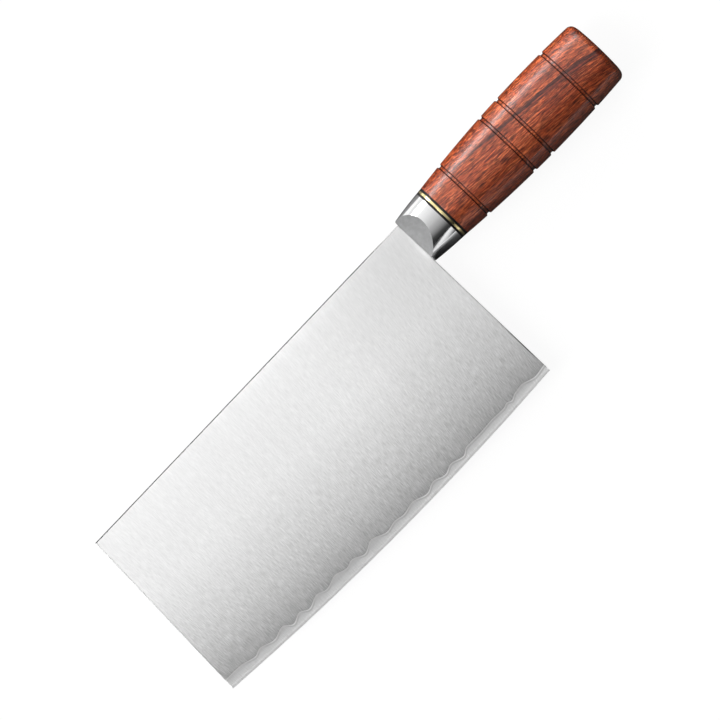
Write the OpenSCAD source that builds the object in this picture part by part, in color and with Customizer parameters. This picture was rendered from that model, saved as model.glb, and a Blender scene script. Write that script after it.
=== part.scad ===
// A wide rectangular kitchen knife for slicing and chopping, lying on its side.
// It is drawn along its own handle axis: +X runs from the blade to the butt,
// +Y from the cutting edge to the spine, and +Z out of the face that ends on top.
// rest_pose() then tips it forward until blade and handle both touch the table.

/* [Blade] */
// Length of the blade along its spine
blade_length = 193; // [180:1:205]
// Height of the blade at its front corner
front_height = 88; // [85:0.5:90]
// Height of the blade where the cutting edge bows out most
belly_height = 94; // [92:0.5:97]
// Distance from the front of the spine to that place
belly_from_front = 126; // [115:1:135]
// Lean of the front edge, in degrees, forward at the toe
front_lean = 3; // [0:0.5:6]
// Thickness of the blade from its spine down to the grind
blade_thickness = 2.2; // [2:0.1:2.6]
// Width of the convex grind above the cutting edge
grind_width = 40; // [34:1:46]
// Width of the sharpened bevel
bevel_width = 1; // [0.8:0.1:1.4]
// Thickness of the blade where the bevel starts
bevel_thickness = 0.44; // [0.4:0.02:0.6]
// Thickness left at the very edge
edge_thickness = 0.06; // [0.04:0.01:0.1]
// Height of the stub that the bolster grips
stub_height = 16; // [12:1:18]
// Length of that stub
stub_length = 7; // [5:0.5:8]
// Thickness of that stub, ground down a little to leave shoulders
stub_thickness = 1.8; // [1.4:0.1:1.8]

/* [Layers] */
// Thickness of the hard core behind the grind
core_thickness = 0.7; // [0.6:0.05:0.8]
// Thickness of the core between the claddings where they end
core_thin = 0.24; // [0.2:0.02:0.3]
// Distance from the cutting edge at which the core has its full thickness
core_full_at = 14; // [12:1:18]
// Height of the cladding line above the cutting edge, at its highest crests
line_height = 6.6; // [6:0.1:7]
// Depth of its deepest dips below those
wave_depth = 3.5; // [1:0.1:3.8]

/* [Bolster] */
// Height of the spine above the handle axis
spine_above_axis = 10.4; // [9:0.1:11.5]
// Length of the bolster
bolster_length = 15.6; // [14:0.2:18]
// Radius of the bolster at the blade
bolster_front_r = 12.3; // [11.8:0.1:13]
// Radius of the handle joint at the back of the bolster
joint_r = 13.95; // [13.6:0.05:14.1]
// Bulge of the bolster's side beyond a straight cone
bolster_bulge = 0.15; // [0.1:0.05:0.4]
// Rounding of the bolster's front rim
bolster_rim_r = 0.6; // [0.4:0.1:1]
// Height of each slanted facet above the middle of the blade, at the bolster's front
facet_height = 4; // [3.6:0.1:5]
// Rise of the facets towards the handle, in degrees
facet_slope = 49; // [44:1:54]
// Sideways skew of the facets, in degrees, lower at the spine
facet_skew = 10.9; // [8:0.1:12]

/* [Spacers] */
// Thickness of each black spacer
black_thickness = 1.05; // [0.8:0.05:1.2]
// Thickness of the brass ring between them
ring_thickness = 1.15; // [1:0.05:1.6]

/* [Handle] */
// Radius of the handle joint at the front of the wood
wood_front_r = 14.2; // [14.15:0.05:14.6]
// Length of the wooden handle
wood_length = 98.6; // [94:0.1:104]
// Greatest radius of the handle
swell_r = 17.4; // [16.8:0.1:18]
// Distance from the front of the wood to its thickest place
swell_at = 62; // [58:1:66]
// Radius of the slightly domed butt end
dome_r = 168; // [120:1:220]
// Rounding of the butt's rim
butt_rim_r = 3.3; // [2.5:0.1:4]
// Width of each turned groove at its floor
groove_floor = 1.1; // [0.8:0.1:1.8]
// Width of each turned groove at the surface
groove_mouth = 2.1; // [1.9:0.1:2.4]
// Depth of each turned groove
groove_depth = 0.8; // [0.5:0.1:1]
// Distances from the front of the wood to the grooves
groove_at = [12.5, 40.3, 51.1, 79.2];

/* [Tang] */
// Width of the steel tang, across the knife
tang_width = 9; // [7:0.5:10]
// Thickness of the tang
tang_thickness = 5; // [4:0.5:6]
// Length of the tang inside the bolster
tang_in_bolster = 5.4; // [4:0.2:6]
// Length of the tang inside the wood
tang_in_wood = 70; // [60:1:74]
// Radius of the bore for the tang in the wood and the spacers
bore_r = 6; // [5.8:0.1:7]
// Depth of the bore in the wood, without its drill point
bore_depth = 72; // [72:1:80]

/* [Hidden] */

// Segments of turned pieces, of the edge's arc in plan and of the long swell
turned_fn = 96;
plan_fn = 1440;
swell_fn = 2160;

// The cutting edge is one arc about a centre far above the spine
front_x = -blade_length;
edge_y = spine_above_axis - belly_height;
toe_x = front_x - front_height * tan(front_lean);
toe_to_belly = belly_from_front + front_height * tan(front_lean);
edge_drop = belly_height - front_height;
edge_r = (toe_to_belly^2 + edge_drop^2) / (2 * edge_drop);
edge_centre = [front_x + belly_from_front, edge_y + edge_r];
plan_margin = 6;
stub_overlap = 1;
section_reach = belly_height + 12;
sweep_start = -97;
sweep_angle = 13;

// The convex grind follows an arc that leaves the flat of the blade without a kink
grind_depth = (blade_thickness - bevel_thickness) / 2;
grind_run = grind_width - bevel_width;
grind_r = (grind_run^2 + grind_depth^2) / (2 * grind_depth);
grind_steps = 4;

// The cladding line's turning points: how far each lies from the toe, and what share
// of the wave's full depth it lies below the highest crests
line_turns = [
    [0, 0.4], [9, 0.29], [17, 0.69], [21, 0.31], [28, 0.74], [34.6, 0.2], [39, 0.91],
    [44.3, 0.34], [48.5, 0.86], [55.3, 0.2], [60, 0.57], [67.2, 0], [72.7, 0.4],
    [77, 0.09], [83, 0.71], [89.2, 0], [96.9, 0.71], [102.4, 0.43], [107.2, 0.66],
    [113.6, 0.34], [121.1, 0.94], [126.6, 0.43], [132.7, 0.94], [137.6, 0.51],
    [144, 1], [148, 0.49], [157, 0.57], [163.5, 0.51], [171.5, 0.66], [174, 0.49],
    [176.3, 0.77], [180, 0.43], [183.5, 0.34], [191.7, 1], [198, 0.86]
];

// The line is drawn with straight steps
wave_step = 1.5;
wave_steps = ceil((toe_to_belly - belly_from_front + blade_length) / wave_step) + 2;

// Where the core layer starts, from the cutting edge, well below the dips of the line
core_starts_at = 2;

// Places along the handle axis, from the heel of the blade
front_spacer_x = bolster_length;
ring_x = front_spacer_x + black_thickness;
rear_spacer_x = ring_x + ring_thickness;
wood_x = rear_spacer_x + black_thickness;
butt_x = wood_x + wood_length;
drill_point = bore_r * tan(31);

// The swell of the handle is one arc from end to end
swell_rise = swell_r - wood_front_r;
swell_arc_r = (swell_at^2 + swell_rise^2) / (2 * swell_rise);
rim_at = wood_length - dome_drop(swell_r - butt_rim_r) - butt_rim_r;
rim_centre_r = wood_r(rim_at) - butt_rim_r;

// The table touches the front of the blade and the swell of the handle: the tip-forward
// angle is that of the line from the blade's lower front corner, tangent to the swell
swell_centre = [wood_x + swell_at, swell_arc_r - swell_r];
corner_to_centre = swell_centre - [front_x, -blade_thickness / 2];
rest_pitch = asin(swell_arc_r / norm(corner_to_centre))
           - atan2(corner_to_centre[1], corner_to_centre[0]);
lift = swell_arc_r - swell_centre[1] * cos(rest_pitch) - swell_centre[0] * sin(rest_pitch);
back_end = (butt_x - dome_r) * cos(rest_pitch) + dome_r;
front_end = toe_x * cos(rest_pitch);
middle = [(back_end + front_end) / 2, (swell_r + edge_y) / 2];

steel = "#c9cacb";
core_steel = "#b4b6b8";
polished_steel = "#dcdedf";
black_fibre = "#231c19";
brass = "#d9c58c";
rosewood = "#ab5a41";
glue = "#6e5a48";

// Radius of the wood at a distance from its front
function wood_r(at) = swell_r - swell_arc_r + sqrt(swell_arc_r^2 - (at - swell_at)^2);

// Radius of the spacers and the ring, which widen evenly from the bolster to the wood
function joint_r_at(x) =
    joint_r + (wood_front_r - joint_r) * (x - front_spacer_x) / (wood_x - front_spacer_x);

// Half the thickness of the blade at a distance from the edge, within the grind
function half_thickness(from_edge) =
    blade_thickness / 2 - grind_r + sqrt(grind_r^2 - (grind_width - from_edge)^2);

// How far the domed butt falls back at a radius
function dome_drop(r) = dome_r - sqrt(dome_r^2 - r^2);

// Height of the cladding line above the cutting edge, at a distance from the toe
function line_above_edge(along) =
    let (
        passed = [for (turn = line_turns) if (turn[0] <= along) turn],
        last = passed[len(passed) - 1],
        next = line_turns[min(len(passed), len(line_turns) - 1)],
        share = min(1, (along - last[0]) / max(next[0] - last[0], 1)),
        depth = last[1] + (next[1] - last[1]) * (1 - cos(180 * share)) / 2
    )
    line_height - wave_depth * depth;

// The cutting edge's own place at a distance along the blade
function edge_at(x) = edge_centre[1] - sqrt(edge_r^2 - (x - edge_centre[0])^2);

// Lays the knife on the table, with the middle of its box over the origin
module rest_pose() {
    translate([-middle[0], -middle[1], lift])
        rotate([0, -rest_pitch, 0])
            children();
}

// Turns a drawing of radius and distance into a solid along the handle axis
module turned(from_x) {
    translate([from_x, 0, 0])
        rotate([0, 90, 0])
            rotate_extrude($fn = turned_fn)
                children();
}

// Sweeps a drawing of distance from the edge and thickness along the cutting edge
module along_edge() {
    translate([edge_centre[0], edge_centre[1], 0])
        rotate([0, 0, sweep_start])
            rotate_extrude(angle = sweep_angle, $fn = plan_fn)
                translate([edge_r, 0])
                    mirror([1, 0])
                        children();
}

// The blade's section: a sharpened bevel, the convex grind in short straight steps, and the flat
module blade_section() {
    upper = concat(
        [[0, edge_thickness / 2]],
        [
            for (step = [0 : grind_steps])
                let (from_edge = bevel_width + step * grind_run / grind_steps)
                    [from_edge, half_thickness(from_edge)]
        ],
        [[section_reach, blade_thickness / 2]]
    );
    count = len(upper);
    lower = [for (i = [count - 1 : -1 : 0]) [upper[i][0], -upper[i][1]]];
    polygon(concat(upper, lower));
}

// The core as it lies between the claddings, thinner towards the edge
module core_section() {
    polygon([
        [core_starts_at, -core_thin / 2],
        [core_full_at, -core_thickness / 2],
        [section_reach, -core_thickness / 2],
        [section_reach, core_thickness / 2],
        [core_full_at, core_thickness / 2],
        [core_starts_at, core_thin / 2]
    ]);
}

// The outline of the blade; the cutting edge itself comes from the sweep
module blade_outline() {
    low_y = edge_y - plan_margin;
    low_x = front_x - (spine_above_axis - low_y) * tan(front_lean);
    polygon([
        [0, spine_above_axis],
        [front_x, spine_above_axis],
        [low_x, low_y],
        [0, low_y]
    ]);
}

// The outline of the stub behind the heel, which reaches a little into the blade
module stub_outline() {
    translate([-stub_overlap, -stub_height / 2])
        square([stub_length + stub_overlap, stub_height]);
}

// Everything on the edge side of the wavy cladding line
module below_line() {
    wave_points = [
        for (step = [0 : wave_steps])
            let (along = step * wave_step - wave_step, x = toe_x + along)
                [x, edge_at(x) + line_above_edge(max(along, 0))]
    ];
    last_x = toe_x + wave_steps * wave_step;
    polygon(concat(
        [[toe_x - wave_step, edge_y - plan_margin]],
        wave_points,
        [[last_x, edge_y - plan_margin]]
    ));
}

module blade_core() {
    color(core_steel)
        union() {
            intersection() {
                along_edge() blade_section();
                translate([0, 0, -blade_thickness])
                    linear_extrude(2 * blade_thickness)
                        intersection() {
                            blade_outline();
                            below_line();
                        }
            }
            intersection() {
                along_edge() core_section();
                translate([0, 0, -blade_thickness])
                    linear_extrude(2 * blade_thickness) {
                        blade_outline();
                        stub_outline();
                    }
            }
        }
}

// One outer layer; the left one is on top, and the right one is its mirror image
module cladding() {
    color(steel)
        difference() {
            union() {
                intersection() {
                    along_edge() blade_section();
                    linear_extrude(blade_thickness)
                        difference() {
                            blade_outline();
                            below_line();
                        }
                }
                linear_extrude(stub_thickness / 2) stub_outline();
            }
            along_edge() core_section();
        }
}

module cladding_left() {
    cladding();
}

module cladding_right() {
    mirror([0, 0, 1]) cladding();
}

// Half of the bolster's drawing: a barrel-shaped side with a rounded front rim
module bolster_profile() {
    chord = [joint_r - bolster_front_r, bolster_length];
    side_r = (norm(chord)^2 / 4 + bolster_bulge^2) / (2 * bolster_bulge);
    outward = [chord[1], -chord[0]] / norm(chord);
    side_middle = [bolster_front_r, 0] + chord / 2;
    side_centre = side_middle - (side_r - bolster_bulge) * outward;
    rim_side_r = side_centre[0] + sqrt(side_r^2 - (bolster_rim_r - side_centre[1])^2);
    difference() {
        intersection() {
            square([joint_r + bolster_bulge, bolster_length]);
            translate(side_centre) circle(r = side_r, $fn = swell_fn);
        }
        difference() {
            translate([rim_side_r - bolster_rim_r, -1])
                square([2 * bolster_rim_r, bolster_rim_r + 1]);
            translate([rim_side_r - bolster_rim_r, bolster_rim_r])
                circle(r = bolster_rim_r, $fn = turned_fn);
        }
    }
}

// What the slanted facet on one face takes off the bolster
module facet_waste() {
    big = 4 * bolster_length;
    translate([0, 0, facet_height])
        rotate([-facet_skew, -facet_slope, 0])
            translate([-big / 2, -big / 2, 0])
                cube(big);
}

module bolster() {
    color(polished_steel)
        difference() {
            turned(0) bolster_profile();
            facet_waste();
            mirror([0, 0, 1]) facet_waste();
            translate([0, 0, -stub_thickness / 2])
                linear_extrude(stub_thickness) stub_outline();
            tang_bar();
        }
}

// A flat ring, slightly wider at its back, with the bore for the tang
module joint_ring(from_x, thickness) {
    translate([from_x, 0, 0])
        rotate([0, 90, 0])
            difference() {
                cylinder(
                    h = thickness,
                    r1 = joint_r_at(from_x),
                    r2 = joint_r_at(from_x + thickness),
                    $fn = turned_fn
                );
                translate([0, 0, -1])
                    cylinder(h = thickness + 2, r = bore_r, $fn = turned_fn);
            }
}

module front_spacer() {
    color(black_fibre) joint_ring(front_spacer_x, black_thickness);
}

module brass_ring() {
    color(brass) joint_ring(ring_x, ring_thickness);
}

module rear_spacer() {
    color(black_fibre) joint_ring(rear_spacer_x, black_thickness);
}

// The corner that the rounded rim of the butt takes away
module butt_rim_waste() {
    difference() {
        translate([rim_centre_r, rim_at])
            square(2 * butt_rim_r);
        translate([rim_centre_r, rim_at])
            circle(r = butt_rim_r, $fn = turned_fn);
    }
}

// One turned groove, with a flat floor and sloping walls
module groove_waste(at) {
    floor_r = wood_r(at) - groove_depth;
    mouth_r = wood_r(at) + groove_depth;
    wall = groove_mouth - groove_floor;
    polygon([
        [floor_r, at - groove_floor / 2],
        [mouth_r, at - groove_floor / 2 - wall],
        [mouth_r, at + groove_floor / 2 + wall],
        [floor_r, at + groove_floor / 2]
    ]);
}

module wood_profile() {
    difference() {
        intersection() {
            square([swell_r + 1, wood_length]);
            translate([swell_r - swell_arc_r, swell_at])
                circle(r = swell_arc_r, $fn = swell_fn);
            translate([0, wood_length - dome_r])
                circle(r = dome_r, $fn = swell_fn);
        }
        butt_rim_waste();
        for (at = groove_at) groove_waste(at);
    }
}

// The drilled hole with its pointed end
module bore_hole() {
    rotate([0, 90, 0]) {
        translate([0, 0, front_spacer_x])
            cylinder(h = wood_x + bore_depth - front_spacer_x, r = bore_r, $fn = turned_fn);
        translate([0, 0, wood_x + bore_depth])
            cylinder(h = drill_point, r1 = bore_r, r2 = 0, $fn = turned_fn);
    }
}

module handle() {
    color(rosewood)
        difference() {
            turned(wood_x) wood_profile();
            bore_hole();
        }
}

module tang_bar() {
    tang_length = wood_x + tang_in_wood - bolster_length + tang_in_bolster;
    translate([bolster_length - tang_in_bolster, -tang_width / 2, -tang_thickness / 2])
        cube([tang_length, tang_width, tang_thickness]);
}

module tang() {
    color(core_steel) tang_bar();
}

// Glue fills what the tang leaves of the hole
module tang_epoxy() {
    color(glue)
        difference() {
            bore_hole();
            tang_bar();
        }
}

rest_pose() blade_core();
rest_pose() cladding_left();
rest_pose() cladding_right();
rest_pose() bolster();
rest_pose() front_spacer();
rest_pose() brass_ring();
rest_pose() rear_spacer();
rest_pose() handle();
rest_pose() tang();
rest_pose() tang_epoxy();
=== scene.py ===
"""Dresses the wide kitchen knife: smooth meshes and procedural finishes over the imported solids.

Meshes are drawn in millimetres in the knife's own axes, as in the CAD source: +X runs along
the handle axis from the blade to the butt, +Y from the cutting edge to the spine, and +Z out
of the left face. rest_pose() lays them on the table.
"""

import math

import bpy
from mathutils import Matrix, Vector


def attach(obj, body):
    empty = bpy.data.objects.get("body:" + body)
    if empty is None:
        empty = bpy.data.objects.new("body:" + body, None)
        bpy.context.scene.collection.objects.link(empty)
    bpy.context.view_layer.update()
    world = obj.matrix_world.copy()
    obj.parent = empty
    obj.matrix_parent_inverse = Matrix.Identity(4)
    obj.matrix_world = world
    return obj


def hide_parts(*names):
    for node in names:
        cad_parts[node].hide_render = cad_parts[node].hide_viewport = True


MM = 0.001
# A difference that counts as none
TINY = 0.001

# Blade
BLADE_LENGTH = 193
FRONT_HEIGHT = 88
BELLY_HEIGHT = 94
BELLY_FROM_FRONT = 126
FRONT_LEAN = math.radians(3)
BLADE_HALF = 1.1
GRIND_WIDTH = 40
BEVEL_WIDTH = 1
BEVEL_HALF = 0.22
EDGE_HALF = 0.03
STUB_HALF_HEIGHT = 8
STUB_LENGTH = 7
STUB_HALF = 0.9

# Layers
CORE_HALF = 0.35
CORE_THIN_HALF = 0.12
CORE_STARTS_AT = 2
CORE_FULL_AT = 14
LINE_HEIGHT = 6.6
WAVE_DEPTH = 3.5

# Where the wavy line turns: distance from the toe, and how far below its highest crests, as a
# share of the whole depth
LINE_TURNS = [
    (0, 0.4), (9, 0.29), (17, 0.69), (21, 0.31), (28, 0.74), (34.6, 0.2), (39, 0.91),
    (44.3, 0.34), (48.5, 0.86), (55.3, 0.2), (60, 0.57), (67.2, 0), (72.7, 0.4),
    (77, 0.09), (83, 0.71), (89.2, 0), (96.9, 0.71), (102.4, 0.43), (107.2, 0.66),
    (113.6, 0.34), (121.1, 0.94), (126.6, 0.43), (132.7, 0.94), (137.6, 0.51),
    (144, 1), (148, 0.49), (157, 0.57), (163.5, 0.51), (171.5, 0.66), (174, 0.49),
    (176.3, 0.77), (180, 0.43), (183.5, 0.34), (191.7, 1), (198, 0.86),
]

# Small roundings that the solids leave out
SPINE_ROUND = 0.45
FRONT_ROUND = 0.3
HEEL_ROUND = BLADE_HALF - STUB_HALF
LINE_ROUND = 0.05

# Bolster
SPINE_ABOVE_AXIS = 10.4
BOLSTER_LENGTH = 15.6
BOLSTER_FRONT_R = 12.3
JOINT_R = 13.95
BOLSTER_BULGE = 0.15
BOLSTER_RIM_R = 0.6
FACET_HEIGHT = 4
FACET_SLOPE = math.radians(49)
FACET_SKEW = math.radians(10.9)
POCKET_DEPTH = 5.4

# Spacers and ring
BLACK_THICKNESS = 1.05
RING_THICKNESS = 1.15
JOINT_ROUND = 0.09

# Handle
WOOD_FRONT_R = 14.2
WOOD_LENGTH = 98.6
SWELL_R = 17.4
SWELL_AT = 62
DOME_R = 168
BUTT_RIM_R = 3.3
GROOVE_FLOOR = 1.1
GROOVE_MOUTH = 2.1
GROOVE_DEPTH = 0.8
GROOVE_ROUND = 0.16
GROOVE_AT = [12.5, 40.3, 51.1, 79.2]

# Tang
TANG_HALF_WIDTH = 4.5
TANG_HALF_THICKNESS = 2.5
BORE_R = 6
BORE_DEPTH = 72
DRILL_POINT_SLOPE = math.radians(31)
DRILL_POINT = BORE_R * math.tan(DRILL_POINT_SLOPE)

# The cutting edge is one arc about a centre far above the spine
FRONT_X = -BLADE_LENGTH
EDGE_Y = SPINE_ABOVE_AXIS - BELLY_HEIGHT
TOE_X = FRONT_X - FRONT_HEIGHT * math.tan(FRONT_LEAN)
EDGE_CENTRE_X = FRONT_X + BELLY_FROM_FRONT
TOE_TO_BELLY = EDGE_CENTRE_X - TOE_X
EDGE_DROP = BELLY_HEIGHT - FRONT_HEIGHT
EDGE_R = (TOE_TO_BELLY**2 + EDGE_DROP**2) / (2 * EDGE_DROP)
EDGE_CENTRE_Y = EDGE_Y + EDGE_R

# The convex grind's arc, and the swell's
GRIND_DEPTH = BLADE_HALF - BEVEL_HALF
GRIND_RUN = GRIND_WIDTH - BEVEL_WIDTH
GRIND_R = (GRIND_RUN**2 + GRIND_DEPTH**2) / (2 * GRIND_DEPTH)
SWELL_RISE = SWELL_R - WOOD_FRONT_R
SWELL_ARC_R = (SWELL_AT**2 + SWELL_RISE**2) / (2 * SWELL_RISE)

# Places along the handle axis
RING_X = BOLSTER_LENGTH + BLACK_THICKNESS
REAR_SPACER_X = RING_X + RING_THICKNESS
WOOD_X = REAR_SPACER_X + BLACK_THICKNESS
BUTT_X = WOOD_X + WOOD_LENGTH

# How many straight steps make a full turn
AROUND = 192


def rest_pose():
    """The knife lies on its right face: the blade's front and the handle's swell touch the table."""
    swell_centre = Vector((WOOD_X + SWELL_AT, SWELL_ARC_R - SWELL_R))
    corner = Vector((FRONT_X, -BLADE_HALF))
    to_centre = swell_centre - corner
    pitch = math.asin(SWELL_ARC_R / to_centre.length) - math.atan2(to_centre.y, to_centre.x)
    lift = SWELL_ARC_R - swell_centre.y * math.cos(pitch) - swell_centre.x * math.sin(pitch)
    back_end = (BUTT_X - DOME_R) * math.cos(pitch) + DOME_R
    front_end = TOE_X * math.cos(pitch)
    middle = Vector(((back_end + front_end) / 2, (SWELL_R + EDGE_Y) / 2))
    place = Matrix.Translation(Vector((-middle.x, -middle.y, lift)) * MM)
    return place @ Matrix.Rotation(-pitch, 4, "Y")


# Shapes of the blade


def between(place, places, values):
    """The value at a place, which changes evenly from one place to the other."""
    share = min(1, max(0, (place - places[0]) / (places[1] - places[0])))
    return values[0] + (values[1] - values[0]) * share


def half_thickness(from_edge):
    """Half the blade's thickness at a distance from the cutting edge."""
    if from_edge >= GRIND_WIDTH:
        return BLADE_HALF
    if from_edge >= BEVEL_WIDTH:
        return BLADE_HALF - GRIND_R + math.sqrt(GRIND_R**2 - (GRIND_WIDTH - from_edge) ** 2)
    return EDGE_HALF + (BEVEL_HALF - EDGE_HALF) * from_edge / BEVEL_WIDTH


def core_half(from_edge):
    """Half the thickness of the core between the claddings."""
    return between(from_edge, (CORE_STARTS_AT, CORE_FULL_AT), (CORE_THIN_HALF, CORE_HALF))


def line_above_edge(along):
    """Height of the wavy cladding line above the cutting edge, at a distance from the toe."""
    along = min(max(along, 0), LINE_TURNS[-1][0])
    for (start, last), (end, following) in zip(LINE_TURNS, LINE_TURNS[1:]):
        if along <= end:
            break
    share = (along - start) / (end - start)
    drop = last + (following - last) * (1 - math.cos(math.pi * share)) / 2
    return LINE_HEIGHT - WAVE_DEPTH * drop


def distance_from_edge(x, y):
    return EDGE_R - math.hypot(x - EDGE_CENTRE_X, y - EDGE_CENTRE_Y)


def column_x(share, y):
    """X at a height, on the line that stands at a share of the way from the front to the heel."""
    return (1 - share) * (FRONT_X - (SPINE_ABOVE_AXIS - y) * math.tan(FRONT_LEAN))


# Often enough for the point to settle
COLUMN_ROUNDS = 6


def on_column(share, from_edge):
    """The point on such a line at a distance from the edge, which may depend on the point's x."""
    y = EDGE_Y
    for _ in range(COLUMN_ROUNDS):
        x = column_x(share, y)
        height = from_edge(x) if callable(from_edge) else from_edge
        y = EDGE_CENTRE_Y - math.sqrt((EDGE_R - height) ** 2 - (x - EDGE_CENTRE_X) ** 2)
    return column_x(share, y), y


def rounding(distance, radius):
    """How far a rounded edge falls at a distance inwards from it."""
    if distance >= radius:
        return 0
    return radius - math.sqrt(radius**2 - (radius - max(distance, 0)) ** 2)


def spread(low, high, count):
    return [low + (high - low) * i / count for i in range(count + 1)]


# Steps inwards from the eased borders, and the even step between the blade's other columns
EASE_STEPS = [0, 0.03, 0.07, 0.13, 0.2, 0.3, 0.45, 0.5, 0.65]
COLUMN_STEP = 0.5
STUB_STEPS = [STUB_LENGTH / 2, STUB_LENGTH]
ROWS_BELOW_STUB = 6
ROWS_IN_STUB = 4


def column_shares():
    """Where the columns of the blade's grids stand: close together at the front and the heel."""
    near = [step / BLADE_LENGTH for step in EASE_STEPS]
    count = round((BLADE_LENGTH - 2 * EASE_STEPS[-1]) / COLUMN_STEP)
    middle = spread(near[-1], 1 - near[-1], count)
    return near[:-1] + middle + [1 - share for share in reversed(near[:-1])]


def upper_rows():
    """Rows above the grind, as shares of the way from there to the spine, through the stub's sides."""
    _, low = on_column(1, GRIND_WIDTH)
    heights = spread(low, -STUB_HALF_HEIGHT, ROWS_BELOW_STUB)[1:]
    heights += spread(-STUB_HALF_HEIGHT, STUB_HALF_HEIGHT, ROWS_IN_STUB)[1:]
    heights += [SPINE_ABOVE_AXIS - step for step in reversed(EASE_STEPS)]
    return [(height - low) / (SPINE_ABOVE_AXIS - low) for height in heights]


def upper_point(share, row):
    _, low = on_column(share, GRIND_WIDTH)
    y = low + (SPINE_ABOVE_AXIS - low) * row
    return column_x(share, y), y


# The most that a rounded border takes of a layer's thickness
MOST_ROUNDED = 0.7


def outer_z(x, y, under, top, wall_at_line=None):
    """Height of the outer surface, with its rounded borders."""
    room = MOST_ROUNDED * (top - under)
    from_front = (x - column_x(0, y)) * math.cos(FRONT_LEAN)
    falls = [
        rounding(SPINE_ABOVE_AXIS - y, min(SPINE_ROUND, room)),
        rounding(from_front, min(FRONT_ROUND, room)),
        rounding(-x, min(HEEL_ROUND, room)),
    ]
    if wall_at_line is not None:
        falls.append(rounding(wall_at_line, min(LINE_ROUND, room)))
    return top - max(falls)


# Bodies from grids of points


def place_in_scene(name, data):
    made = bpy.data.objects.new(name, data)
    bpy.context.collection.objects.link(made)
    return made


class Body:
    """Collects points, faces and values at the points for one mesh."""

    def __init__(self):
        self.points = []
        self.faces = []
        self.values = {}

    def point(self, place, **values):
        index = len(self.points)
        self.points.append(place)
        for name, value in values.items():
            self.values.setdefault(name, {})[index] = value
        return index

    def quad(self, a, b, c, d):
        corners = list(dict.fromkeys((a, b, c, d)))
        if len(corners) > 2:
            self.faces.append(corners)

    def piece(self, name, node, slot, paint, sharp=40):
        """Makes the object, laid on the table and riding on the knife's one body."""
        mesh = bpy.data.meshes.new(name)
        mesh.from_pydata([POSE @ (Vector(place) * MM) for place in self.points], [], self.faces)
        mesh.validate()
        mesh.shade_smooth()
        mesh.set_sharp_from_angle(angle=math.radians(sharp))
        for label, found in self.values.items():
            stored = mesh.attributes.new(label, "FLOAT", "POINT")
            for index, value in found.items():
                stored.data[index].value = value
        mesh.materials.append(paint)
        made = place_in_scene(name, mesh)
        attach(made, "root")
        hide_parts(node)


def plate(body, top, bottom, present):
    """Closes the space between two grids of points, where present(row, column) says so."""
    rows = len(top) - 1
    columns = max(len(line) for line in top) - 1

    def there(row, column):
        return 0 <= row < rows and 0 <= column < columns and present(row, column)

    for row in range(rows):
        for column in range(columns):
            if not there(row, column):
                continue
            corners = [(row, column), (row, column + 1), (row + 1, column + 1), (row + 1, column)]
            beside = [(row - 1, column), (row, column + 1), (row + 1, column), (row, column - 1)]
            high = [top[a][b] for a, b in corners]
            low = [bottom[a][b] for a, b in corners]
            body.quad(*high)
            body.quad(low[0], low[3], low[2], low[1])
            for side, neighbour in enumerate(beside):
                if not there(*neighbour):
                    after = (side + 1) % 4
                    body.quad(low[side], low[after], high[after], high[side])


# The painted dark line along the eased border, shade of the rounding painted into the colour:
# how wide it is at the spine, the front and the heel, and how much of it shows there. It shows
# fully at RIM_FULL. It fades along the spine towards the heel, and grows along the heel towards
# the edge.
SPINE_LINE = 0.5
FRONT_LINE = 0.7
HEEL_LINE = 0.6
RIM_FULL = 0.25
SPINE_RIM = (RIM_FULL, 0.1)
SPINE_FADE = (-24, -8)
FRONT_RIM = 0.11
HEEL_RIM = (0.08, 0.2)
HEEL_GROWTH = (-50, -62)
RIM_STEEPNESS = 2.5


def rim_painted_shade(x, y):
    """How much of the painted dark line shows: most along the spine, and zero away from the borders.
    """
    spine = min(1 - (SPINE_ABOVE_AXIS - y) / SPINE_LINE, between(x, SPINE_FADE, SPINE_RIM))
    from_front = x - column_x(0, y)
    front = FRONT_RIM * min(1, RIM_STEEPNESS * (1 - from_front / FRONT_LINE))
    heel = between(y, HEEL_GROWTH, HEEL_RIM) * min(1, RIM_STEEPNESS * (1 + x / HEEL_LINE))
    return max(0, spine, front, heel)


def layer(columns, stub_high, stub_low):
    """A layer of the blade with its part of the stub, from columns of (x, y, high, low).

    The stub, where x is above zero, takes the heel's values.
    """
    body = Body()
    rows = len(columns[0])
    top = [[] for _ in range(rows)]
    bottom = [[] for _ in range(rows)]

    def add(row, x, y, high, low, rim):
        from_edge = distance_from_edge(min(x, 0), y)
        from_line = from_edge - line_above_edge(min(x, 0) - TOE_X)
        for grid, z in ((top, high), (bottom, low)):
            point = body.point((x, y, z), from_edge=from_edge, from_line=from_line, rim=rim)
            grid[row].append(point)

    for column in columns:
        for row, (x, y, high, low) in enumerate(column):
            add(row, x, y, high, low, rim_painted_shade(x, y))
    first = rows - len(upper_rows()) + ROWS_BELOW_STUB - 1
    stub_rows = range(first, first + ROWS_IN_STUB)
    for row in range(first, first + ROWS_IN_STUB + 1):
        for step in STUB_STEPS:
            add(row, step, columns[-1][row][1], stub_high, stub_low, 1)

    def present(row, column):
        return column < len(columns) - 1 or row in stub_rows

    plate(body, top, bottom, present)
    return body


GRIND_ROWS = 14
# Steps up from the wavy line
LINE_STEPS = [0, 0.02, 0.05, 0.12, 0.25, 0.5, 1]


def cladding_places(share):
    """One column of a cladding, from the wavy line to the spine: x, y, distance above the line."""
    places = []
    for step in LINE_STEPS:
        x, y = on_column(share, lambda x, step=step: line_above_edge(x - TOE_X) + step)
        places.append((x, y, step))
    for height in spread(distance_from_edge(x, y), GRIND_WIDTH, GRIND_ROWS)[1:]:
        places.append((*on_column(share, height), height))
    return places + [(*upper_point(share, row), GRIND_WIDTH) for row in upper_rows()]


def faces(side, outer, inner):
    """The higher and the lower face of a cladding; side is 1 for the left and -1 for the right."""
    return (outer, inner) if side > 0 else (-inner, -outer)


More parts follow.
